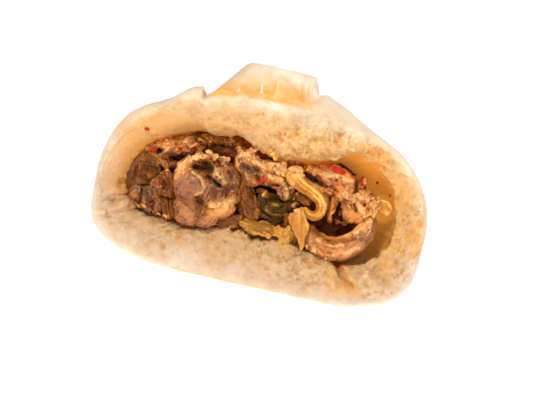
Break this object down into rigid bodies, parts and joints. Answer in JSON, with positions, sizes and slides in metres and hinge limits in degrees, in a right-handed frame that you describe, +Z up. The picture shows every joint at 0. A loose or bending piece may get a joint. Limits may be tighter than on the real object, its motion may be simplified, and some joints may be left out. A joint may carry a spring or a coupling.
{
  "type": "steamed bun",
  "caption": "Steamed bun torn in half: a domed dough shell with a pleated, knotted top and a flat base, open at the torn face on a filling of pork chunks and cabbage.",
  "frame": {"origin": "on the flat base, under the axis of the bun that this half was torn from", "axes": "+Z up through the knotted top, +X to the right along the longest side of the torn face, +Y from the torn face towards the back of the bun"},
  "size_m": [0.092, 0.0565, 0.0607],
  "materials": {
    "dough": "matt, soft, slightly moist steamed dough",
    "pork": "moist, oily braised meat",
    "cabbage_pale": "wet, half translucent",
    "cabbage_dark": "wet, half translucent",
    "packed_filling": "moist, oily"
  },
  "bodies": {
    "root": {"dough": "dough", "pork_chunk_left": "pork", "pork_chunk_middle": "pork", "pork_chunk_right": "pork", "pork_crumbled_right": "pork", "pork_slice_curled": "pork", "pork_chunk_low_left": "pork", "pork_chunk_upper_left": "pork", "cabbage_wedge": "cabbage_pale", "cabbage_hook": "cabbage_pale", "cabbage_flap_right": "cabbage_pale", "cabbage_leaf_brown": "cabbage_dark", "cabbage_leaf_green": "cabbage_dark", "cabbage_strip_left": "cabbage_dark", "cabbage_leaf_left": "cabbage_dark", "cabbage_leaf_upper": "cabbage_dark", "filling_core": "packed_filling"}
  },
  "joints": []
}
